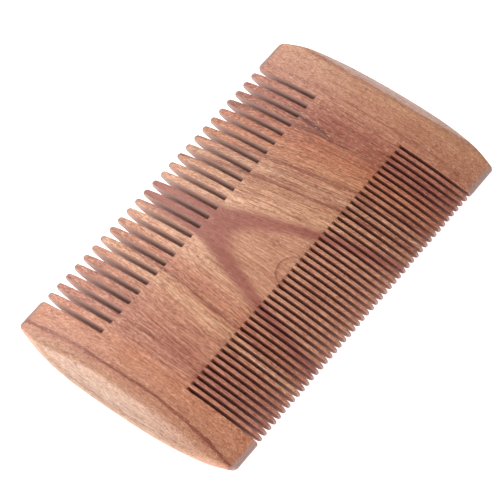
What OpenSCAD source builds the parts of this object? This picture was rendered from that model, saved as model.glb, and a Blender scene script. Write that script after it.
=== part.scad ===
// Double-sided wooden beard comb cut from one board.
// +X runs along the spine, +Y points to the coarse tips and +Z out of the upper face.
// The origin is the centre of the flat land that the comb lies on.

/* [Board] */
// Length of the comb along its spine
comb_l = 102; // [94:1:112]
// Width from the coarse tips to the fine tips
comb_w = 60; // [58:0.5:64]
// Thickness along the middle of the board
board_t = 8.2; // [6:0.2:10]
// Thickness left at the tips of the teeth
tip_t = 1.3; // [0.8:0.1:1.8]
// Width of the flat land along the middle of each face
land_w = 6; // [4:0.5:10]

/* [Coarse teeth] */
// Number of coarse teeth
coarse_n = 25; // [15:1:25]
// Width of a slot between two coarse teeth
coarse_slot = 1.25; // [0.8:0.05:1.6]
// Distance from the comb's middle to the slot ends at the centre of the row
coarse_root = 12.2; // [10:0.1:15]
// How much further out the slots end at the two ends of the row
root_bow = 0.5; // [0.2:0.1:1]
// Length of the curved taper at a coarse tip
coarse_taper = 5.5; // [4:0.5:9]
// Radius of a coarse tip in plan
coarse_tip_r = 0.65; // [0.3:0.05:0.75]

/* [Fine teeth] */
// Number of pairs of fine teeth
fine_pairs = 23; // [14:1:23]
// Width of a slot between two fine teeth
fine_slot = 0.8; // [0.4:0.05:0.9]
// Distance from the comb's middle to the ends of the fine slots
fine_root = 10.8; // [9:0.1:14]
// Length of the curved taper at a fine tip
fine_taper = 1.5; // [1:0.1:3]
// Radius of a fine tip in plan
fine_tip_r = 0.25; // [0.1:0.05:0.3]

/* [Guards] */
// Distance between the two end guards
field_l = 77; // [72:1:80]
// Sideways offset of the rows of teeth from the comb's middle
field_x = -0.5; // [-1:0.1:1]
// Radius of the outer edge at its middle
edge_mid_r = 250; // [180:10:400]
// Radius of the outer edge towards its corners
edge_end_r = 66; // [60:1:90]
// Distance from the middle at which the outer edge's end arcs begin
edge_break_y = 10; // [6:1:14]
// Width of the bevel on the outer edge at its middle
bevel_w = 3.8; // [2:0.2:6]
// Thickness of the nose that the two bevels leave
nose_t = 1.8; // [1:0.1:3]
// Radius of the bevel's ridge in plan
ridge_r = 225; // [150:5:400]
// Radius of a guard's corner beside the coarse teeth
coarse_corner_r = 1.1; // [0.5:0.1:2.5]
// Radius of a guard's corner beside the fine teeth
fine_corner_r = 0.5; // [0.3:0.1:2.5]
// Radius of a guard's corner on the outer edge
outer_corner_r = 1.2; // [0.5:0.1:2]

/* [Hidden] */
$fn = 360;
arc_fn = 1440;
cut = 1;
mid_z = board_t / 2;
half_l = comb_l / 2;
half_w = comb_w / 2;

// Each face is flat on its land and falls to the tips on an arc that starts tangent to the land
face_drop = (board_t - tip_t) / 2;
face_run = half_w - land_w / 2;
face_r = (face_run ^ 2 + face_drop ^ 2) / (2 * face_drop);

coarse_pitch = (field_l - coarse_slot) / coarse_n;
coarse_half_w = (coarse_pitch - coarse_slot) / 2;

// Place along the spine of each coarse slot, and how far out that slot ends
function slot_x(i) = field_x + (i - coarse_n / 2) * coarse_pitch;
function slot_end_y(i) = coarse_root + root_bow * (2 * i / coarse_n - 1) ^ 2;

fine_n = 2 * fine_pairs;
fine_pitch = (field_l - fine_slot) / fine_n;
fine_half_w = (fine_pitch - fine_slot) / 2;

// The outer edge is a middle arc with an end arc on each side. An end arc begins parallel to the
// middle arc and arc_step outside it, and crosses it a few millimetres further on.
arc_step = 0.04;
edge_angle = asin(edge_break_y / edge_mid_r);
arc_centres = edge_mid_r - edge_end_r + arc_step;
end_arc_x = half_l - edge_mid_r + arc_centres * cos(edge_angle);
end_arc_y = arc_centres * sin(edge_angle);

// The outer corner's circle touches the straight end and the end arc
corner_y = half_w - outer_corner_r;
corner_reach = edge_end_r - outer_corner_r;
corner_x = end_arc_x + sqrt(corner_reach ^ 2 - (corner_y - end_arc_y) ^ 2);
corner_top_y = corner_y + outer_corner_r * (corner_y - end_arc_y) / corner_reach;

// The bevel's cones widen downwards and upwards from the ridges to the middle plane
bevel_out = bevel_w * board_t / (board_t - nose_t);

function two_digits(i) = str(i < 10 ? "0" : "", i);
function coarse_name(i) = str("coarse_tooth_", two_digits(i));
function fine_name(i) = str("fine_teeth_", two_digits(i));

// Half of the cross-section's rule: everything below the upper face
module under_face() {
    for (side = [-1, 1])
        translate([side * land_w / 2, board_t - face_r])
            circle(face_r, $fn = arc_fn);
    translate([-land_w / 2, -cut])
        square([land_w, board_t + cut]);
}

// Cross-section of the board across its width: width along x, thickness along y
module board_section() {
    intersection() {
        under_face();
        translate([0, board_t])
            mirror([0, 1])
                under_face();
    }
}

// Length of blank board between two places along the spine
module blank(x_from, x_to) {
    translate([x_from, 0, 0])
        rotate([90, 0, 90])
            linear_extrude(x_to - x_from)
                board_section();
}

// Everything beyond the bowed line that joins the ends of the coarse slots
module beyond_coarse_root() {
    slot_ends = [for (i = [0 : coarse_n]) [slot_x(i), slot_end_y(i)]];
    corners = [
        [comb_l, slot_end_y(coarse_n)],
        [comb_l, comb_w],
        [-comb_l, comb_w],
        [-comb_l, slot_end_y(0)]
    ];
    translate([0, 0, -cut])
        linear_extrude(board_t + 2 * cut)
            polygon(concat(slot_ends, corners));
}

// Plan of one tooth that points along +y, from y_from to its rounded tip at y_tip
module tooth_plan(half_width, y_from, y_tip, taper, tip_r) {
    taper_y = y_tip - taper;
    centre_y = y_tip - tip_r;
    side_r = ((centre_y - taper_y) ^ 2 + half_width ^ 2 - tip_r ^ 2) / (2 * (half_width - tip_r));
    touch_y = centre_y + tip_r * (centre_y - taper_y) / (side_r - tip_r);
    translate([-half_width, y_from])
        square([2 * half_width, taper_y - y_from]);
    intersection() {
        for (side = [-1, 1])
            translate([side * (side_r - half_width), taper_y])
                circle(side_r, $fn = arc_fn);
        translate([-half_width, taper_y])
            square([2 * half_width, touch_y - taper_y]);
    }
    translate([0, centre_y])
        circle(tip_r, $fn = 48);
}

// Middle arc of a right-hand guard's outer edge, filled back to the guard's inner face
module middle_plan(x_inner) {
    intersection() {
        translate([half_l - edge_mid_r, 0])
            rotate(180)
                circle(edge_mid_r, $fn = arc_fn);
        translate([x_inner, -half_w])
            square([comb_l, comb_w]);
    }
}

// What the end arc and the rounded corners take off one half of a right-hand guard
module corner_waste(x_inner, inner_corner_r) {
    difference() {
        translate([x_inner, edge_break_y])
            square([comb_l, comb_w]);
        translate([end_arc_x, end_arc_y])
            rotate(180)
                circle(edge_end_r, $fn = arc_fn);
    }
    difference() {
        translate([x_inner - cut, half_w - inner_corner_r])
            square([inner_corner_r + cut, inner_corner_r + cut]);
        translate([x_inner + inner_corner_r, half_w - inner_corner_r])
            circle(inner_corner_r, $fn = 96);
    }
    difference() {
        translate([corner_x, corner_top_y])
            square([2 * outer_corner_r, half_w]);
        translate([corner_x, corner_y])
            circle(outer_corner_r, $fn = 96);
    }
}

// Plan of a right-hand guard
module guard_plan(x_inner) {
    difference() {
        middle_plan(x_inner);
        corner_waste(x_inner, coarse_corner_r);
        mirror([0, 1])
            corner_waste(x_inner, fine_corner_r);
    }
}

// The two cones whose slopes are the bevels on the outer edge
module bevel_cones() {
    for (side = [0, 1])
        translate([half_l - bevel_w - ridge_r, 0, mid_z])
            mirror([0, 0, side])
                rotate(180)
                    cylinder(h = mid_z, r1 = ridge_r + bevel_out, r2 = ridge_r, $fn = arc_fn);
}

// A right-hand guard, with its plan, the board's section and the bevels all applied
module guard(x_inner) {
    intersection() {
        linear_extrude(board_t)
            guard_plan(x_inner);
        blank(x_inner - cut, half_l + cut);
        bevel_cones();
    }
}

module right_guard() {
    color("#b97f63")
        guard(field_l / 2 + field_x);
}

module left_guard() {
    color("#c08a6c")
        mirror([1, 0, 0])
            guard(field_l / 2 - field_x);
}

module spine() {
    color("#bd8566")
        difference() {
            intersection() {
                blank(field_x - field_l / 2, field_x + field_l / 2);
                translate([-comb_l, -fine_root, 0])
                    cube([2 * comb_l, fine_root + half_w, board_t]);
            }
            beyond_coarse_root();
        }
}

module coarse_tooth(i) {
    tooth_x = field_x + (i - (coarse_n + 1) / 2) * coarse_pitch;
    color("#c99a7e")
        intersection() {
            translate([tooth_x, 0, 0])
                linear_extrude(board_t)
                    tooth_plan(coarse_half_w, coarse_root - cut, half_w, coarse_taper, coarse_tip_r);
            blank(tooth_x - coarse_pitch, tooth_x + coarse_pitch);
            beyond_coarse_root();
        }
}

module fine_tooth(i) {
    tooth_x = field_x + (i - (fine_n + 1) / 2) * fine_pitch;
    intersection() {
        translate([tooth_x, 0, 0])
            mirror([0, 1, 0])
                linear_extrude(board_t)
                    tooth_plan(fine_half_w, fine_root, half_w, fine_taper, fine_tip_r);
        blank(tooth_x - fine_pitch, tooth_x + fine_pitch);
    }
}

// Two neighbouring fine teeth, as two separate solids
module fine_teeth(pair) {
    color("#a96f5c")
        for (i = [2 * pair - 1, 2 * pair])
            fine_tooth(i);
}

spine();
left_guard();
right_guard();
for (i = [1 : coarse_n])
    coarse_tooth(i);
for (i = [1 : fine_pairs])
    fine_teeth(i);
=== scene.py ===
"""The looks of a double-sided wooden beard comb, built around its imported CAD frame.

Every length in this script is in millimetres until a mesh, a light or the camera is made.
The comb is one board, so each piece is a region of it, and all of them share one figured grain.
"""
import math
import random

import bmesh
import bpy
import numpy as np
from mathutils import Matrix, Vector


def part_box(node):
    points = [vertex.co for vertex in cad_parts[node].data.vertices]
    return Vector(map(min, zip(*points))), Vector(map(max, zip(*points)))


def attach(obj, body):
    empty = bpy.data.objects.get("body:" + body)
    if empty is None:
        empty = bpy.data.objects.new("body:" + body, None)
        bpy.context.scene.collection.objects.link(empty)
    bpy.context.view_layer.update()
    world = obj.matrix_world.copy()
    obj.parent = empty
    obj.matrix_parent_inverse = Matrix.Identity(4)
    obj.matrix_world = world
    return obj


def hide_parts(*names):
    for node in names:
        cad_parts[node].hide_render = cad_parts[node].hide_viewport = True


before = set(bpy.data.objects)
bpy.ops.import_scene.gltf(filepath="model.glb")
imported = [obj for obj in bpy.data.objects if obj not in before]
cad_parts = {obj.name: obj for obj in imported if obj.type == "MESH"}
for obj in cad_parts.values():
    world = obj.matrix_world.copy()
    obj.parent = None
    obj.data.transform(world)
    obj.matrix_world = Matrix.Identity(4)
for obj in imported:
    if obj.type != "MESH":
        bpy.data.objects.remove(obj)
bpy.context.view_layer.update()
MM = 0.001

# ---------------------------------------------------------------- sizes


def box_mm(node):
    """The lowest and highest corner of a CAD node, in millimetres."""
    low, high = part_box(node)
    return np.array(low) / MM, np.array(high) / MM


def boxes_of_row(prefix):
    """The boxes of one row of teeth, from the left guard to the right one."""
    return [box_mm(name) for name in sorted(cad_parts) if name.startswith(prefix)]


spine_low, spine_high = box_mm("spine")
left_high = box_mm("left_guard")[1]
right_low, right_high = box_mm("right_guard")
coarse_boxes = boxes_of_row("coarse_tooth_")
fine_boxes = boxes_of_row("fine_teeth_")

BOARD_T = spine_high[2] - spine_low[2]
MID_Z = (spine_high[2] + spine_low[2]) / 2
HALF_L = right_high[0]
HALF_W = right_high[1]
FIELD_START = spine_low[0]      # the rows of teeth lie between these two
FIELD_END = spine_high[0]
LEFT_GUARD_INNER = -left_high[0]    # how far out each guard's inner side lies
RIGHT_GUARD_INNER = right_low[0]

LAND_W = 6.0          # flat land along the middle of each face
TIP_T = 1.3           # thickness left at the tips
FACE_DROP = (BOARD_T - TIP_T) / 2
FACE_RUN = HALF_W - LAND_W / 2
FACE_R = (FACE_RUN ** 2 + FACE_DROP ** 2) / (2 * FACE_DROP)

COARSE_RIM = 0.28     # rounding of the edges along a coarse tooth
FINE_RIM = 0.14       # rounding of the edges along a fine tooth
END_RIM = 1.1         # rounding of the edges of a guard's ends
RIM_SHARE = 0.9       # most of the local height that any of these takes
COARSE_TAPER = 5.5    # length over which a coarse tooth narrows to its tip
COARSE_TIP_R = 0.65   # radius of its tip in plan
FINE_TAPER = 1.5
FINE_TIP_R = 0.25
TIP_NOSE = 0.65       # length over which a tooth's tip is rounded off in thickness
TIP_ROUND = 0.9       # how nearly the cross-section becomes a full round there
TIP_WEAR = 0.12       # most that a tip falls short of its full length
WEAR_SEED = 7

EDGE_MID_R = 250.0    # radius of the guards' outer edge at its middle
EDGE_END_R = 66.0     # and towards its corners
EDGE_BREAK_Y = 10.0   # y at which one gives way to the other
BEVEL_W = 3.8         # width of a guard's bevel at its middle
NOSE_T = 1.8          # thickness of the outer edge there
RIDGE_R = 225.0       # radius of the ridge between the face and the bevel
RIDGE_SOFTNESS = 0.8  # height over which that ridge is blended
OUTER_NOSE = 0.5      # width over which the outer edge is rounded off
COARSE_CORNER_R = 1.1  # inner corners of the guards, beside the coarse and the fine teeth
FINE_CORNER_R = 0.5
OUTER_CORNER_R = 1.2
EDGE_STEP = 0.05      # step along the outer edge over which its slope is taken

# How finely the meshes are divided
RIM_STEPS = 4
SPINE_INNER_ROWS = 16
NOSE_RINGS = 7
TAPER_RINGS = 6
SHAFT_RINGS = 6
CORNER_STEPS = 12
OUTER_NOSE_STEPS = 8
GUARD_FREE_ROWS = 18
GUARD_COLUMNS = 34

FINE_SLOT = fine_boxes[0][0][0] - FIELD_START
FINE_HALF_W = (fine_boxes[0][1][0] - fine_boxes[0][0][0] - FINE_SLOT) / 4
COARSE_HALF_W = (coarse_boxes[0][1][0] - coarse_boxes[0][0][0]) / 2

coarse_centres = [(low[0] + high[0]) / 2 for low, high in coarse_boxes]
fine_centres = []
for low, high in fine_boxes:
    fine_centres += [low[0] + FINE_HALF_W, high[0] - FINE_HALF_W]


def slots_between(centres, half_w):
    """The two sides of every slot in a row of teeth, guard to guard."""
    starts = [FIELD_START] + [c + half_w for c in centres]
    ends = [c - half_w for c in centres] + [FIELD_END]
    return np.array(starts), np.array(ends)


coarse_slots = slots_between(coarse_centres, COARSE_HALF_W)
fine_slots = slots_between(fine_centres, FINE_HALF_W)

# The coarse slots end on a line that bows towards the tips at both ends of the row
slot_middles = (coarse_slots[0] + coarse_slots[1]) / 2
COARSE_ROOT_Y = min(low[1] for low, high in coarse_boxes)
ROOT_BOW = spine_high[1] - COARSE_ROOT_Y
slot_share = np.linspace(-1, 1, len(slot_middles))
slot_end_y = COARSE_ROOT_Y + ROOT_BOW * slot_share ** 2

FINE_ROOT_Y = spine_low[1]


def coarse_root_y(x):
    """The y at which the coarse slots end, and their teeth begin, at x."""
    return float(np.interp(x, slot_middles, slot_end_y))


def fine_root_y(x):
    """The same for the fine slots, which all end at one y."""
    return FINE_ROOT_Y


# ---------------------------------------------------------------- the board's shape


def face_height(y):
    """Half the board's thickness at y: flat on the land, then an arc down to the tips."""
    run = min(max(abs(y) - LAND_W / 2, 0.0), FACE_R)
    return BOARD_T / 2 - FACE_R + math.sqrt(FACE_R ** 2 - run ** 2)


def rounding(distance, width):
    """Share of the full height at a distance from a fully rounded edge."""
    t = min(max(distance / width, 0.0), 1.0)
    return math.sqrt(t * (2 - t))


def rim_drop(distance, radius, height):
    """How far a rounded rim lies below the face at a distance from its edge."""
    if distance >= radius:
        return 0.0
    return min(radius, RIM_SHARE * height) * (1 - rounding(distance, radius))


def less_slot_rims(height, to_coarse_slot, to_fine_slot):
    """A height less what the rims of the nearest slots take, given the distances to them."""
    coarse_drop = rim_drop(to_coarse_slot, COARSE_RIM, height)
    fine_drop = rim_drop(to_fine_slot, FINE_RIM, height)
    return height - coarse_drop - fine_drop


def slot_distance(x, y, slots, end_y, towards):
    """Plan distance to the nearest slot that runs from end_y towards +y (1) or -y (-1)."""
    starts, ends = slots
    across = float(np.min(np.maximum(np.maximum(starts - x, x - ends), 0.0)))
    along = max((end_y - y) * towards, 0.0)
    return math.hypot(across, along)


def rounded_offsets(length, steps=RIM_STEPS):
    """Distances from an edge, up to length, for the vertices that round it: closest at the edge."""
    return [length * (1 - math.cos(math.pi / 2 * k / steps)) for k in range(steps + 1)]


def between(first, last, count):
    """Evenly spaced places between two others, which are left out."""
    return list(np.linspace(first, last, count + 2))[1:-1]


def tooth_half_width(distance, half_w, taper, tip_r):
    """Half the width of a tooth in plan, at a distance from its tip."""
    if distance >= taper:
        return half_w
    reach = taper - tip_r
    side_r = (reach ** 2 + half_w ** 2 - tip_r ** 2) / (2 * (half_w - tip_r))
    touch = tip_r - tip_r * reach / (side_r - tip_r)
    if distance >= touch:
        return half_w - side_r + math.sqrt(side_r ** 2 - (taper - distance) ** 2)
    return math.sqrt(max(tip_r ** 2 - (tip_r - distance) ** 2, 0.0))


# ---------------------------------------------------------------- mesh helpers

SHARP = math.radians(38)
WELD_GAP = 0.0004     # vertices this close are one
SHORTEST_EDGE = 0.0002


def add_object(name, data):
    """An object in the scene, for a mesh, a light or the camera."""
    added = bpy.data.objects.new(name, data)
    bpy.context.scene.collection.objects.link(added)
    return added


def weld_and_face_out(mesh):
    """Joins vertices that share a place, drops what that flattens and turns every face outwards."""
    work = bmesh.new()
    work.from_mesh(mesh)
    bmesh.ops.remove_doubles(work, verts=work.verts, dist=WELD_GAP * MM)
    bmesh.ops.dissolve_degenerate(work, edges=work.edges, dist=SHORTEST_EDGE * MM)
    bmesh.ops.recalc_face_normals(work, faces=work.faces)
    work.to_mesh(mesh)
    work.free()


def make_piece(name, vertices, faces, slot_name, nodes):
    """A closed mesh from millimetres, welded, shaded smooth and standing for its CAD nodes."""
    mesh = bpy.data.meshes.new(name)
    mesh.from_pydata([Vector(v) * MM for v in vertices], [], faces)
    mesh.validate()
    piece = add_object(name, mesh)
    weld_and_face_out(mesh)
    mesh.polygons.foreach_set("use_smooth", [True] * len(mesh.polygons))
    mesh.set_sharp_from_angle(angle=SHARP)
    mesh.materials.append(wood[slot_name])
    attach(piece, "root")
    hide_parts(*nodes)


def two_faced_grid(columns, rows, place):
    """Vertices and quads of a closed body whose upper and lower faces mirror each other.

    place(i, j) gives x, y and the half height of grid point i, j. The four sides are closed
    by a wall, which vanishes where the half height is nothing.
    """
    top = [place(i, j) for j in range(rows) for i in range(columns)]
    count = len(top)
    vertices = [(x, y, MID_Z + h) for x, y, h in top] + [(x, y, MID_Z - h) for x, y, h in top]
    faces = []
    for j in range(rows - 1):
        for i in range(columns - 1):
            a = j * columns + i
            quad = (a, a + 1, a + columns + 1, a + columns)
            faces.append(quad)
            faces.append(tuple(count + k for k in reversed(quad)))
    rim = list(range(columns))
    rim += [j * columns + columns - 1 for j in range(1, rows)]
    rim += [(rows - 1) * columns + i for i in range(columns - 2, -1, -1)]
    rim += [j * columns for j in range(rows - 2, 0, -1)]
    for k, a in enumerate(rim):
        b = rim[(k + 1) % len(rim)]
        faces.append((a, count + a, count + b, b))
    return vertices, faces


def joined(parts):
    """Several vertex and face lists as one."""
    vertices, faces = [], []
    for part_vertices, part_faces in parts:
        start = len(vertices)
        vertices += part_vertices
        faces += [tuple(start + k for k in face) for face in part_faces]
    return vertices, faces


# ---------------------------------------------------------------- spine


def tooth_columns(centres, half_w, rim):
    """Places along the spine where the rounded edges of a row of teeth have vertices."""
    reaches = [half_w - offset for offset in rounded_offsets(rim)]
    return [c + side * reach for c in centres for side in (-1, 1) for reach in reaches]


def spine_rows(x):
    """The y of each row of the spine's grid at x, from the fine slots' ends to the coarse ones'."""
    root = coarse_root_y(x)
    lower = [FINE_ROOT_Y + offset for offset in rounded_offsets(FINE_RIM)]
    upper = [root - offset for offset in reversed(rounded_offsets(COARSE_RIM))]
    return lower + between(lower[-1], upper[0], SPINE_INNER_ROWS) + upper


def spine_height(x, y):
    """Half the spine's thickness, with the rounded rims of the slots that end at it."""
    to_coarse_slot = slot_distance(x, y, coarse_slots, coarse_root_y(x), 1)
    to_fine_slot = slot_distance(x, y, fine_slots, FINE_ROOT_Y, -1)
    return less_slot_rims(face_height(y), to_coarse_slot, to_fine_slot)


def build_spine():
    columns = tooth_columns(coarse_centres, COARSE_HALF_W, COARSE_RIM)
    columns += tooth_columns(fine_centres, FINE_HALF_W, FINE_RIM)
    columns += [FIELD_START, FIELD_END]
    columns = sorted(set(round(x, 4) for x in columns))
    rows = [spine_rows(x) for x in columns]

    def place(i, j):
        x, y = columns[i], rows[i][j]
        return x, y, spine_height(x, y)

    vertices, faces = two_faced_grid(len(columns), len(rows[0]), place)
    make_piece("spine_board", vertices, faces, "spine_wood", ["spine"])


# ---------------------------------------------------------------- teeth


def tooth_ring(x, y_at, half_w, height, rim):
    """One closed ring of a tooth: a rounded rectangle with y_at(x) giving each vertex its y."""
    rim_x = min(rim, half_w)
    rim_z = min(rim, RIM_SHARE * height)
    ring = []
    for side_x, side_z in ((1, 1), (-1, 1), (-1, -1), (1, -1)):
        turns = range(RIM_STEPS + 1)
        if side_x != side_z:
            turns = reversed(turns)
        for k in turns:
            angle = math.pi / 2 * k / RIM_STEPS
            px = x + side_x * (half_w - rim_x + rim_x * math.cos(angle))
            pz = MID_Z + side_z * (height - rim_z + rim_z * math.sin(angle))
            ring.append((px, y_at(px), pz))
    return ring


def root_ring(x, root_at, half_w, rim):
    """The ring where a tooth meets the spine, at the height of the spine's own edge."""
    level = face_height(root_at(x))
    ring = tooth_ring(x, root_at, half_w, level, rim)
    return [(px, py, MID_Z + (pz - MID_Z) * face_height(py) / level) for px, py, pz in ring]


def tooth_mesh(x, root_at, towards, tip_y, half_w, taper, tip_r, rim):
    """A whole tooth, lofted from its rounded point at tip_y to its root."""
    near_tip = rounded_offsets(TIP_NOSE, NOSE_RINGS)[1:]
    on_taper = list(np.linspace(TIP_NOSE, taper, TAPER_RINGS + 1))[1:]
    on_shaft = between(taper, abs(tip_y - root_at(x)), SHAFT_RINGS)
    distances = near_tip + on_taper + on_shaft
    vertices = [(x, tip_y, MID_Z)]
    for distance in distances:
        y = tip_y - towards * distance
        width = tooth_half_width(distance, half_w, taper, tip_r)
        height = face_height(y) * rounding(distance, TIP_NOSE)
        soft = rim + (width - rim) * max(0.0, 1 - distance / TIP_NOSE) * TIP_ROUND
        vertices += tooth_ring(x, lambda px: y, width, height, max(soft, rim))
    vertices += root_ring(x, root_at, half_w, rim)

    size = 4 * (RIM_STEPS + 1)
    faces = [(0, 1 + k, 1 + (k + 1) % size) for k in range(size)]
    for start in range(1, 1 + len(distances) * size, size):
        for k in range(size):
            a, b = start + k, start + (k + 1) % size
            faces.append((a, a + size, b + size, b))
    faces.append(tuple(range(len(vertices) - size, len(vertices))))
    return vertices, faces


def build_coarse_teeth():
    for i, x in enumerate(coarse_centres):
        name = f"coarse_tooth_{i + 1:02d}"
        tip_y = HALF_W - random.uniform(0, TIP_WEAR)
        vertices, faces = tooth_mesh(x, coarse_root_y, 1, tip_y, COARSE_HALF_W,
                                     COARSE_TAPER, COARSE_TIP_R, COARSE_RIM)
        make_piece(name + "_turned", vertices, faces, "coarse_tooth_wood", [name])


def build_fine_teeth():
    """Makes the fine teeth in pairs, because each CAD node holds two neighbours."""
    for i in range(len(fine_boxes)):
        name = f"fine_teeth_{i + 1:02d}"
        pair = []
        for x in fine_centres[2 * i : 2 * i + 2]:
            tip_y = -HALF_W + random.uniform(0, TIP_WEAR)
            pair.append(tooth_mesh(x, fine_root_y, -1, tip_y, FINE_HALF_W,
                                   FINE_TAPER, FINE_TIP_R, FINE_RIM))
        vertices, faces = joined(pair)
        make_piece(name + "_turned", vertices, faces, "fine_tooth_wood", [name])


# ---------------------------------------------------------------- guards

# The outer edge of a right-hand guard, as in the CAD model
ARC_CENTRES = EDGE_MID_R - EDGE_END_R
EDGE_ANGLE = math.asin(EDGE_BREAK_Y / EDGE_MID_R)
END_ARC_X = HALF_L - EDGE_MID_R + ARC_CENTRES * math.cos(EDGE_ANGLE)
END_ARC_Y = ARC_CENTRES * math.sin(EDGE_ANGLE)
CORNER_Y = HALF_W - OUTER_CORNER_R
CORNER_REACH = EDGE_END_R - OUTER_CORNER_R
CORNER_X = END_ARC_X + math.sqrt(CORNER_REACH ** 2 - (CORNER_Y - END_ARC_Y) ** 2)
CORNER_TOP_Y = CORNER_Y + OUTER_CORNER_R * (CORNER_Y - END_ARC_Y) / CORNER_REACH

BEVEL_SLOPE = (BOARD_T - NOSE_T) / 2 / BEVEL_W


def outer_x(y):
    """How far out a guard's edge lies at y."""
    y = abs(y)
    if y > CORNER_TOP_Y:
        return CORNER_X + math.sqrt(max(OUTER_CORNER_R ** 2 - (y - CORNER_Y) ** 2, 0.0))
    if y > EDGE_BREAK_Y:
        return END_ARC_X + math.sqrt(EDGE_END_R ** 2 - (y - END_ARC_Y) ** 2)
    return HALF_L - EDGE_MID_R + math.sqrt(EDGE_MID_R ** 2 - y ** 2)


def outer_slope(y):
    """How fast that edge turns inwards with y, or 0 at the guard's very ends."""
    if abs(y) >= HALF_W - 2 * EDGE_STEP:
        return 0.0
    return (outer_x(y - EDGE_STEP) - outer_x(y + EDGE_STEP)) / (2 * EDGE_STEP)


def inner_x(y, x_inner):
    """How far out a guard's inner side lies at y, with its corners rounded at the tips."""
    radius = COARSE_CORNER_R if y > 0 else FINE_CORNER_R
    beyond = max(abs(y) - (HALF_W - radius), 0.0)
    return x_inner + radius - math.sqrt(max(radius ** 2 - beyond ** 2, 0.0))


def soft_min(a, b, softness):
    """The lower of two heights, blended where they are close."""
    share = min(max(0.5 + (b - a) / (2 * softness), 0.0), 1.0)
    return b + (a - b) * share - softness * share * (1 - share)


def guard_height(x, y):
    """Half the thickness of a guard at the plan distance x from the comb's middle."""
    ridge_centre = HALF_L - BEVEL_W - RIDGE_R
    beyond_ridge = math.hypot(x - ridge_centre, y) - RIDGE_R
    bevel = BOARD_T / 2 - BEVEL_SLOPE * beyond_ridge
    height = soft_min(face_height(y), bevel, RIDGE_SOFTNESS)
    to_edge = (outer_x(y) - x) / math.hypot(1, outer_slope(y))
    return height * rounding(to_edge, OUTER_NOSE)


def guard_line(y, x_inner):
    """The x of each grid point of a guard at y, from its inner side outwards."""
    first, last = inner_x(y, x_inner), outer_x(y)
    near = [first + offset for offset in rounded_offsets(COARSE_RIM)]
    far = [last - offset for offset in reversed(rounded_offsets(OUTER_NOSE, OUTER_NOSE_STEPS))]
    return near + between(near[-1], far[0], GUARD_COLUMNS) + far


def build_guard(name, side, x_inner, slot_x, node):
    """A guard on side -1 (left) or 1 (right). slot_x is the spine's end that it meets."""
    tip = rounded_offsets(OUTER_CORNER_R, CORNER_STEPS)
    middle = spine_rows(slot_x)
    lower = [-HALF_W + offset for offset in tip]
    upper = [HALF_W - offset for offset in reversed(tip)]
    lower_free = between(lower[-1], middle[0], GUARD_FREE_ROWS)
    upper_free = between(middle[-1], upper[0], GUARD_FREE_ROWS)
    rows = lower + lower_free + middle + upper_free + upper
    lines = [guard_line(y, x_inner) for y in rows]

    def place(i, j):
        x, y = lines[j][i], rows[j]
        from_wall = x - lines[j][0]
        to_coarse_slot = math.hypot(from_wall, max(middle[-1] - y, 0.0))
        to_fine_slot = math.hypot(from_wall, max(y - middle[0], 0.0))
        height = less_slot_rims(guard_height(x, y), to_coarse_slot, to_fine_slot)
        height -= rim_drop(HALF_W - abs(y), END_RIM, height)
        return side * x, y, height

    vertices, faces = two_faced_grid(len(lines[0]), len(rows), place)
    make_piece(name, vertices, faces, "guard_wood", [node])


# ---------------------------------------------------------------- shader helpers


def linear(red, green, blue):
    """A colour given in 0 to 255 screen values, as the linear values that shaders take."""
    shares = [v / 255 for v in (red, green, blue)]
    return tuple(s / 12.92 if s < 0.04045 else ((s + 0.055) / 1.055) ** 2.4 for s in shares) + (1,)


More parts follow.
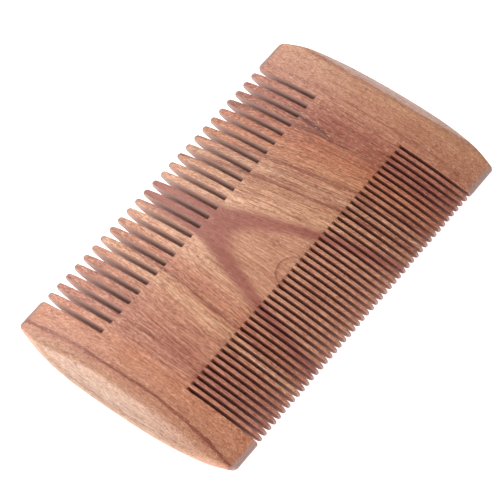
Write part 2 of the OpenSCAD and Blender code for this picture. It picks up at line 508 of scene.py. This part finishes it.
class Nodes:
    """Short calls that add shader nodes to one material. The functions below take it as n.

    Their values are numbers or sockets.
    """

    def __init__(self, tree):
        self.tree = tree

    def add(self, kind, **settings):
        node = self.tree.nodes.new(kind)
        for key, value in settings.items():
            setattr(node, key, value)
        return node

    def feed(self, socket, value):
        if isinstance(value, bpy.types.NodeSocket):
            self.tree.links.new(value, socket)
        else:
            socket.default_value = value

    def math(self, operation, *values):
        node = self.add("ShaderNodeMath", operation=operation)
        for socket, value in zip(node.inputs, values):
            self.feed(socket, value)
        return node.outputs[0]

    def times(self, *factors):
        product = factors[0]
        for factor in factors[1:]:
            product = self.math("MULTIPLY", product, factor)
        return product

    def total(self, *terms):
        result = terms[0]
        for term in terms[1:]:
            result = self.math("ADD", result, term)
        return result

    def multiply_add(self, value, factor, extra):
        return self.math("MULTIPLY_ADD", value, factor, extra)

    def magnitude(self, value):
        return self.math("ABSOLUTE", value)

    def hypot(self, a, b):
        return self.math("SQRT", self.multiply_add(a, a, self.times(b, b)))

    def ease(self, value, low, high, start=0.0, end=1.0):
        """Rises smoothly from start to end while value goes from low to high."""
        node = self.add("ShaderNodeMapRange", interpolation_type="SMOOTHSTEP")
        for key, number in zip(("Value", "From Min", "From Max", "To Min", "To Max"),
                               (value, low, high, start, end)):
            self.feed(node.inputs[key], number)
        return node.outputs["Result"]

    def band(self, value, middle, half_width, soft):
        """1 near the middle, falling to 0 over soft on both sides of half_width."""
        away = self.magnitude(self.math("SUBTRACT", value, middle))
        return self.ease(away, half_width, half_width + soft, 1.0, 0.0)

    def vector(self, x, y, z):
        node = self.add("ShaderNodeCombineXYZ")
        for socket, value in zip(node.inputs, (x, y, z)):
            self.feed(socket, value)
        return node.outputs[0]

    def parts(self, vector):
        node = self.add("ShaderNodeSeparateXYZ")
        self.feed(node.inputs[0], vector)
        return node.outputs

    def vector_product(self, a, b):
        """Each part of a times the same part of b."""
        node = self.add("ShaderNodeVectorMath", operation="MULTIPLY")
        self.feed(node.inputs[0], a)
        self.feed(node.inputs[1], b)
        return node.outputs[0]

    def noise(self, point, cells, detail=2.0, roughness=0.5):
        """Noise from 0 to 1, with cells to the millimetre along each axis."""
        node = self.add("ShaderNodeTexNoise")
        self.feed(node.inputs["Vector"], self.vector_product(point, cells))
        node.inputs["Scale"].default_value = 1.0
        node.inputs["Detail"].default_value = detail
        node.inputs["Roughness"].default_value = roughness
        return node.outputs["Fac"]

    def ramp(self, value, stops):
        node = self.add("ShaderNodeValToRGB")
        self.feed(node.inputs["Fac"], value)
        elements = node.color_ramp.elements
        for k, (position, colour) in enumerate(stops):
            element = elements[k] if k < 2 else elements.new(position)
            element.position = position
            element.color = colour
        return node.outputs["Color"]

    def mix(self, share, a, b):
        """Colour a where share is 0, and b where it is 1."""
        node = self.add("ShaderNodeMix", data_type="RGBA", blend_type="MIX")
        colour_a, colour_b = node.inputs[6], node.inputs[7]
        self.feed(node.inputs["Factor"], share)
        self.feed(colour_a, a)
        self.feed(colour_b, b)
        return node.outputs[2]


# ---------------------------------------------------------------- the board's figure


def timber(red, green, blue):
    """A wood colour as it looks when lit: made a little redder, since white sheen pales it."""
    r, g, b, alpha = linear(red, green, blue)
    return r * 1.10 + 0.015, g * 1.02 - 0.01, b - 0.015, alpha


# Colour of the board at places along it, from the left guard to the right one
ZONES = [
    # The pale greyish colours at -51 and -48, on the left guard's bevel, are painted sheen: the
    # whitish reflection on that bevel.
    (-51, timber(178, 152, 132)),
    (-48, timber(188, 151, 126)),
    (-45.0, timber(200, 145, 118)),
    (-44.2, timber(172, 114, 96)),
    (-43.6, timber(196, 142, 116)),
    (-39, timber(206, 146, 116)),
    (-36, timber(188, 131, 110)),
    (-31, timber(186, 128, 106)),
    (-26, timber(190, 134, 109)),
    (-24, timber(200, 147, 119)),
    (-22.6, timber(214, 168, 136)),
    (-20.8, timber(206, 156, 124)),
    (-19.8, timber(178, 121, 96)),
    (-16.8, timber(194, 135, 109)),
    (-15.4, timber(200, 146, 118)),
    (-13.4, timber(213, 165, 135)),
    (5, timber(220, 175, 145)),
    (9, timber(208, 160, 129)),
    (12.8, timber(200, 151, 119)),
    (14.2, timber(176, 123, 97)),
    (16.4, timber(203, 158, 128)),
    (19, timber(193, 140, 111)),
    (20.2, timber(176, 121, 94)),
    (21.6, timber(194, 138, 106)),
    (26, timber(186, 122, 92)),
    (29.2, timber(178, 116, 90)),
    (30.2, timber(164, 106, 86)),
    (34, timber(170, 108, 90)),
    (38, timber(186, 131, 107)),
    (47, timber(198, 149, 119)),
    # Painted sheen: the pale colour of the right guard's outer edge stands for the white reflection
    # on its bevel.
    (51, timber(192, 150, 136)),
]
ARCH_DARK = timber(170, 111, 97)
ARCH_DEEP = timber(160, 101, 88)
ARCH_INSIDE = timber(203, 152, 124)
LINE_DARK = timber(146, 92, 76)
STREAK_DARK = timber(112, 66, 60)
FLECK_LIGHT = linear(240, 205, 168)
PORE_DARK = linear(112, 54, 38)
ROSY = linear(176, 118, 118)
# The next two are the slot walls' colours: the coarse walls' is sawn grey made paler as a painted
# reflection of the white floor, and the fine walls' is painted shade, for the dark inside those
# narrow slots.
COARSE_WALL_GREY_AND_REFLECTION = linear(184, 155, 145)
FINE_WALL_SHADE = linear(122, 60, 48)
# The next two are the colours of the ends near the tips, sawn grey: on the coarse side darkened as
# painted shade, and on the fine side, whose ends face the camera, made pale as a painted sheen.
COARSE_END_GREY_AND_SHADE = linear(142, 122, 118)
FINE_END_GREY_AND_SHEEN = linear(206, 178, 174)

WANDER = 5.0          # how far the grain lines wander sideways, slowly
WANDER_CELLS = (0.09, 0.035, 0.12)
RIPPLE = 1.6          # and how far they ripple, over short lengths
RIPPLE_CELLS = (0.9, 0.16, 0.9)
# Where the grain leans away from the arch, as the middle of the leaning band and its slope
LEANS = ((14.0, 0.167), (-20.0, -0.1))
LEAN_HALF = 6.0
LEAN_SOFT = 16.0
GUARD_BOW = 0.0014    # how strongly the grain of the left guard bows
GUARD_BOW_Y = 10.0    # y of the middle of that bow
GUARD_BOW_X = (-42.0, -38.0)    # and the x between which it fades out

ARCH_X = -2.7         # middle of the cathedral arch in the grain
ARCH_SLOPE = 3.4      # how steeply the inner edge of its legs runs
ARCH_CURVE = 8.0      # how blunt its inner crown is
ARCH_CROWN_Y = 4.6    # top of its inner edge
ARCH_CROWN_SOFT = 2.8
ARCH_HALF = 9.0       # half its outer width at y = 0
ARCH_FLARE = 0.35     # how fast the outer width grows towards the fine teeth
ARCH_STEM = 5.3       # half the width of the dark stem above it
ARCH_DEEP_CELLS = (0.45, 0.1, 0.4)
# The darkest place of the arch, left of its middle, as its own middle, half size and soft edge
SHOULDER_ACROSS = (-6.6, 0.8, 2.6)
SHOULDER_ALONG = (2.5, 2.0, 7.0)

EYE_Y = -11.9         # centre and radius of the small growth ring inside the arch
EYE_R = 4.0
EYE_SHADE = 1.6       # width of the shade inside that ring
EYE_LINE = (0.05, 0.25)    # half width of its line, and the width of its soft edge
# Thin dark growth lines, as the place where each crosses y = 0 and its strength
GROWTH_LINES = ((-44.2, 1.0), (-33.5, 0.45), (-19.7, 0.6), (14.1, 0.75), (17.8, 0.35),
                (20.1, 0.75), (29.8, 0.9), (31.6, 0.5), (40.4, 0.45))
GROWTH_LINE = (0.12, 0.45)    # half width of each, and the width of its soft edge
LINE_BREAK_CELLS = (0.25, 0.08, 0.3)
STREAK_X = 29.9       # where the short dark streak would cross y = 0
STREAK_LEAN = 0.11    # how far it leans towards the right guard, to the millimetre
STREAK_ACROSS = (0.0, 0.15, 0.55)    # its middle, half size and soft edge
STREAK_ALONG = (9.0, 4.5, 3.0)

# Cells to the millimetre across the grain, along it and through the board
FIBRE_CELLS = (3.2, 0.13, 3.2)
BROAD_CELLS = (0.8, 0.04, 0.8)
SPECKLE_CELLS = (3.4, 1.1, 3.4)
GRIT_CELLS = (4.2, 2.8, 4.2)
FLECK_CELLS = (5.0, 0.7, 5.0)
PORE_CELLS = (5.6, 0.6, 5.6)
SHEEN_CELLS = (1.4, 0.3, 1.4)
GUARDS_FROM = 36.0    # the grain turns from streaks to speckles between these distances
GUARDS_FULL = 43.0    # from the middle, towards the guards
WALLS_TO = FIELD_END + 1.5    # slot walls and the guards' inner corners end within this
WALLS_SOFT = 1.0
TIPS_FROM = HALF_W - 1.8      # the tips' sawn grey, with its painted sheen and shade, comes in between these two
TIPS_FULL = HALF_W - 0.6
RELIEF = 0.08         # height of the bump that fibres and pores make


class GrainPlace:
    """Where a shaded point lies in the board and in its grain, in millimetres.

    across tells the growth lines apart, from_arch is measured from the arch's middle, and
    along_grain is the point moved sideways so that the grain runs straight through it.
    """

    def __init__(self, n):
        in_metres = n.add("ShaderNodeTexCoord").outputs["Object"]
        self.point = n.vector_product(in_metres, (1 / MM, 1 / MM, 1 / MM))
        self.x, self.y, self.z = n.parts(self.point)
        self.depth = n.math("SUBTRACT", BOARD_T, self.z)
        self.wander = n.multiply_add(n.noise(self.point, WANDER_CELLS), WANDER, -WANDER / 2)
        ripple_noise = n.noise(self.point, RIPPLE_CELLS, 3.0)
        self.ripple = n.multiply_add(ripple_noise, RIPPLE, -RIPPLE / 2)
        lean = grain_lean(n, self.x, self.y)
        self.across = n.total(self.x, lean, n.times(self.wander, 0.25), n.times(self.ripple, 0.7),
                              n.times(self.depth, 0.12))
        self.from_arch = n.total(self.x, -ARCH_X, n.times(self.ripple, 0.5),
                                 n.times(self.wander, 0.25))
        sideways = n.total(self.x, lean, n.times(self.ripple, 0.5))
        self.along_grain = n.vector(sideways, self.y, self.z)
        self.on_guards = n.ease(n.magnitude(self.x), GUARDS_FROM, GUARDS_FULL)


def grain_lean(n, x, y):
    """How far the grain lines have leant or bowed sideways."""
    slopes = [n.times(n.band(x, middle, LEAN_HALF, LEAN_SOFT), slope) for middle, slope in LEANS]
    from_bow = n.math("SUBTRACT", y, GUARD_BOW_Y)
    on_left_guard = n.ease(x, *GUARD_BOW_X, 1.0, 0.0)
    bow = n.times(from_bow, from_bow, GUARD_BOW, on_left_guard)
    return n.total(n.times(n.total(*slopes), y), bow)


def zone_colour(n, at):
    """The broad colour zones, which lie one after another across the grain."""
    share = n.multiply_add(at.across, 0.5 / HALF_L, 0.5)
    return n.ramp(share, [((x + HALF_L) / (2 * HALF_L), colour) for x, colour in ZONES])


def draw_arch(n, at, colour):
    """Adds the arch: a wide dark band around a paler middle, with a stem up into the teeth.

    Also returns two shares: how far a point is within the arch, and in its paler middle.
    """
    crown = n.multiply_add(n.hypot(at.from_arch, ARCH_CURVE),
                           ARCH_SLOPE, -ARCH_SLOPE * ARCH_CURVE)
    level = n.total(at.y, crown, n.times(at.wander, 0.5), n.times(at.depth, 1.3))
    flared = n.multiply_add(at.y, -ARCH_FLARE, ARCH_HALF)
    half = n.math("SMOOTH_MAX", flared, ARCH_STEM, 2.0)
    outside = n.total(n.magnitude(at.from_arch), n.times(half, -1.0), n.times(at.depth, 0.4))
    within = n.ease(outside, -1.5, 1.1, 1.0, 0.0)
    inner = n.ease(level, ARCH_CROWN_Y - ARCH_CROWN_SOFT, ARCH_CROWN_Y + ARCH_CROWN_SOFT, 1.0, 0.0)
    patches = n.ease(n.noise(at.point, ARCH_DEEP_CELLS), 0.4, 0.62)
    shoulder = n.times(n.band(at.from_arch, *SHOULDER_ACROSS), n.band(at.y, *SHOULDER_ALONG))
    deep = n.times(n.math("MAXIMUM", patches, shoulder), 0.9)
    arch_colour = n.mix(inner, n.mix(deep, ARCH_DARK, ARCH_DEEP), ARCH_INSIDE)
    return n.mix(within, colour, arch_colour), within, inner


def draw_growth_lines(n, at, colour):
    """Adds the small ring near the fine slots and the thin leaning lines."""
    eye_y = n.math("SUBTRACT", at.y, EYE_Y)
    eye_r = n.hypot(at.from_arch, eye_y)
    upper_half = n.ease(at.y, EYE_Y - 1.0, EYE_Y + 1.0)
    shade = n.times(n.ease(eye_r, EYE_R - EYE_SHADE, EYE_R, 0.0, 0.5),
                    n.ease(eye_r, EYE_R, EYE_R + EYE_LINE[1], 1.0, 0.0))
    colour = n.mix(n.times(shade, upper_half), colour, ARCH_DARK)
    lines = n.times(n.band(eye_r, EYE_R, *EYE_LINE), n.times(upper_half, 0.7))
    for line_x, strength in GROWTH_LINES:
        line = n.times(n.band(at.across, line_x, *GROWTH_LINE), strength)
        lines = n.math("MAXIMUM", lines, line)
    broken = n.ease(n.noise(at.point, LINE_BREAK_CELLS), 0.3, 0.5, 0.45, 1.0)
    return n.mix(n.times(lines, broken), colour, LINE_DARK)


def draw_dark_streak(n, at, colour):
    """Adds the one short dark streak that runs into the coarse teeth near the right guard."""
    from_streak = n.total(at.x, -STREAK_X, n.times(at.y, -STREAK_LEAN), n.times(at.ripple, 0.6))
    streak = n.times(n.band(from_streak, *STREAK_ACROSS), n.band(at.y, *STREAK_ALONG))
    return n.mix(n.times(streak, 0.9), colour, STREAK_DARK)


def grain_tone(n, at, fibres, speckle, calm):
    """How bright the grain is, around 1: streaky along the spine and speckled on the guards."""
    darkest = n.multiply_add(at.on_guards, 0.16, 0.66)
    palest = n.multiply_add(at.on_guards, -0.16, 1.32)
    broad = n.noise(at.along_grain, BROAD_CELLS, 3.0, 0.55)
    grit = n.math("SUBTRACT", n.noise(at.along_grain, GRIT_CELLS, 2.0, 0.6), 0.5)
    tone = n.times(n.ease(fibres, 0.28, 0.72, darkest, palest),
                   n.ease(broad, 0.2, 0.8, 0.84, 1.14),
                   n.ease(speckle, 0.3, 0.7, 0.76, 1.22),
                   n.multiply_add(n.times(grit, at.on_guards), 1.25, 1.0))
    contrast = n.times(calm, n.multiply_add(at.on_guards, -0.35, 1.35))
    return n.multiply_add(n.math("SUBTRACT", tone, 1.0), contrast, 1.0)


def draw_fine_grain(n, at, colour, within, inner):
    """Adds fibres, flecks and open pores, all drawn out along the grain.

    Also returns the fibres, the speckles and the pores, for the gloss and the relief.
    """
    fibres = n.noise(at.along_grain, FIBRE_CELLS, 4.0, 0.62)
    speckle = n.noise(at.along_grain, SPECKLE_CELLS, 3.0, 0.75)
    on_dark_band = n.times(within, n.math("SUBTRACT", 1.0, inner))
    calm = n.multiply_add(on_dark_band, -0.35, n.multiply_add(within, -0.25, 1.0))
    tone = grain_tone(n, at, fibres, speckle, calm)
    # Dark grain is redder than pale grain, so red follows the tone less than blue does
    tint = n.vector(n.math("POWER", tone, 0.65), tone, n.math("POWER", tone, 1.12))
    colour = n.vector_product(colour, tint)
    flecks = n.ease(n.noise(at.along_grain, FLECK_CELLS), 0.58, 0.70)
    colour = n.mix(n.times(flecks, 0.5, calm), colour, FLECK_LIGHT)
    pores = n.ease(n.noise(at.along_grain, PORE_CELLS, 1.0, 0.4), 0.60, 0.72)
    return n.mix(n.times(pores, 0.5), colour, PORE_DARK), fibres, speckle, pores


def grey_sawn_surfaces_and_painted_light(n, at, colour, wall_share):
    """Makes sawn slot walls and tips duller and greyer than the sanded faces, and paints light and
    shade on them.

    Also returns how far a point is on a slot's wall.
    """
    normal = n.parts(n.add("ShaderNodeNewGeometry").outputs["Normal"])
    sideways, endways = n.magnitude(normal["X"]), n.magnitude(normal["Y"])
    coarse_side = n.ease(at.y, -1.0, 1.0)
    between_guards = n.ease(n.magnitude(at.x), WALLS_TO, WALLS_TO + WALLS_SOFT, wall_share, 0.0)
    wall = n.times(n.ease(sideways, 0.75, 0.97), between_guards)
    # Painted light on the walls: painted shade on the fine slots' walls, and a paler painted floor
    # reflection over the sawn grey of the coarse slots' walls.
    colour = n.mix(wall, colour, n.mix(coarse_side, FINE_WALL_SHADE, COARSE_WALL_GREY_AND_REFLECTION))
    # Painted light on the ends near the tips, the guards' ends as well: painted shade on the coarse
    # side and a pale painted sheen on the fine side, over a sawn grey.
    near_tips = n.ease(n.magnitude(at.y), TIPS_FROM, TIPS_FULL)
    end = n.times(n.ease(endways, 0.15, 0.55, 0.0, 0.8), near_tips)
    return n.mix(end, colour, n.mix(coarse_side, FINE_END_GREY_AND_SHEEN, COARSE_END_GREY_AND_SHADE)), wall


def connect_surface(n, colour, rough, relief):
    """A lightly polished surface, with a shallow relief."""
    shader = n.add("ShaderNodeBsdfPrincipled")
    n.feed(shader.inputs["Base Color"], colour)
    n.feed(shader.inputs["Roughness"], rough)
    shader.inputs["IOR"].default_value = 1.45
    shader.inputs["Coat Weight"].default_value = 0.15
    shader.inputs["Coat Roughness"].default_value = 0.26
    bump = n.add("ShaderNodeBump")
    bump.inputs["Strength"].default_value = 0.5
    bump.inputs["Distance"].default_value = RELIEF * MM
    n.feed(bump.inputs["Height"], relief)
    n.feed(shader.inputs["Normal"], bump.outputs["Normal"])
    output = n.add("ShaderNodeOutputMaterial")
    n.feed(output.inputs["Surface"], shader.outputs["BSDF"])


def wood_material(name, redness, wall_share, roughness):
    """Figured hardwood. All regions share one figure, because they are one board."""
    material = bpy.data.materials.new(name)
    material.use_nodes = True
    tree = material.node_tree
    tree.nodes.clear()
    n = Nodes(tree)
    at = GrainPlace(n)

    colour = zone_colour(n, at)
    colour, within, inner = draw_arch(n, at, colour)
    colour = draw_growth_lines(n, at, colour)
    colour = draw_dark_streak(n, at, colour)
    colour, fibres, speckle, pores = draw_fine_grain(n, at, colour, within, inner)
    colour = n.mix(redness, colour, ROSY)
    colour, wall = grey_sawn_surfaces_and_painted_light(n, at, colour, wall_share)

    worn = n.ease(n.noise(at.along_grain, SHEEN_CELLS, 3.0), 0.3, 0.7, -0.05, 0.06)
    rough = n.total(roughness, worn, n.times(wall, 0.3), n.times(pores, 0.2))
    relief = n.total(n.times(fibres, 0.6), n.times(pores, -0.8), n.times(speckle, 0.3))
    connect_surface(n, colour, rough, relief)
    return material


# Name, redness, share of the sawn wall colour (sawn grey with painted shade and reflection) on its
# walls, and roughness
WOODS = (
    ("spine_wood", 0.0, 0.3, 0.42),
    ("guard_wood", 0.0, 0.8, 0.40),
    ("coarse_tooth_wood", 0.0, 0.85, 0.42),
    ("fine_tooth_wood", 0.12, 0.6, 0.46),
)
wood = {name: wood_material(name, *look) for name, *look in WOODS}

# ---------------------------------------------------------------- build

random.seed(WEAR_SEED)
build_spine()
build_guard("left_guard_sanded", -1, LEFT_GUARD_INNER, FIELD_START, "left_guard")
build_guard("right_guard_sanded", 1, RIGHT_GUARD_INNER, FIELD_END, "right_guard")
build_coarse_teeth()
build_fine_teeth()

# ---------------------------------------------------------------- floor, light and camera

FLOOR_HALF = 1500.0
FLOOR_DROP = 0.02     # keeps the floor clear of the land that rests on it
WHITE = (1, 1, 1, 1)
PAPER = (0.9, 0.9, 0.9, 1)
WORLD_STRENGTH = 0.15
# Name, place, width and watts of each softbox
SOFTBOXES = (
    ("key", (-610, 390, 470), 380, 5.35),
    ("back", (250, 620, 520), 600, 3.8),
    ("fill", (-150, -620, 480), 500, 0.95),
)

CAMERA_AZIMUTH = -137.10      # degrees from +X to the camera
CAMERA_ELEVATION = 57.73
CAMERA_ROLL = -5.99
CAMERA_DISTANCE = 590.9
CAMERA_AIM = (-1.84, 1.16)    # point of the board's middle plane that the camera looks at
SENSOR = 36.0
LENS = 193.0
CLIP_START = 10.0


def build_floor():
    """White paper that glows, so that the comb stands on a plain white background."""
    mesh = bpy.data.meshes.new("floor")
    sides = ((-1, -1), (1, -1), (1, 1), (-1, 1))
    corners = [(x * FLOOR_HALF, y * FLOOR_HALF, -FLOOR_DROP) for x, y in sides]
    mesh.from_pydata([Vector(corner) * MM for corner in corners], [], [(0, 1, 2, 3)])
    floor = add_object("floor", mesh)
    material = bpy.data.materials.new("floor_paper")
    material.use_nodes = True
    shader = material.node_tree.nodes["Principled BSDF"]
    shader.inputs["Base Color"].default_value = PAPER
    shader.inputs["Roughness"].default_value = 0.9
    shader.inputs["Emission Color"].default_value = WHITE
    shader.inputs["Emission Strength"].default_value = 1.0
    mesh.materials.append(material)


def add_world():
    """Soft white light from all round."""
    world = bpy.data.worlds.new("studio")
    world.use_nodes = True
    background = world.node_tree.nodes["Background"]
    background.inputs["Color"].default_value = WHITE
    background.inputs["Strength"].default_value = WORLD_STRENGTH
    bpy.context.scene.world = world


def add_softbox(name, place, size, watts):
    """A square light that faces the comb's middle."""
    light = bpy.data.lights.new(name, "AREA")
    light.shape = "SQUARE"
    light.size = size * MM
    light.energy = watts
    softbox = add_object(name, light)
    softbox.location = Vector(place) * MM
    softbox.rotation_euler = (-Vector(place)).to_track_quat("-Z", "Y").to_euler()


def add_camera():
    """The camera of the photo, turned about its own axis by CAMERA_ROLL."""
    azimuth, elevation = math.radians(CAMERA_AZIMUTH), math.radians(CAMERA_ELEVATION)
    outwards = Vector((math.cos(elevation) * math.cos(azimuth),
                       math.cos(elevation) * math.sin(azimuth), math.sin(elevation)))
    right = Vector((0, 0, 1)).cross(outwards).normalized()
    up = outwards.cross(right)
    turn = Matrix.Rotation(math.radians(CAMERA_ROLL), 3, outwards)
    right, up = turn @ right, turn @ up
    data = bpy.data.cameras.new("camera")
    data.sensor_width = SENSOR
    data.lens = LENS
    data.clip_start = CLIP_START * MM
    camera = add_object("camera", data)
    target = Vector((*CAMERA_AIM, MID_Z))
    spot = (target + outwards * CAMERA_DISTANCE) * MM
    turned = Matrix((right, up, outwards)).transposed().to_4x4()
    camera.matrix_world = Matrix.Translation(spot) @ turned
    bpy.context.scene.camera = camera


build_floor()
add_world()
for softbox_values in SOFTBOXES:
    add_softbox(*softbox_values)
add_camera()
bpy.context.scene.view_settings.view_transform = "Standard"
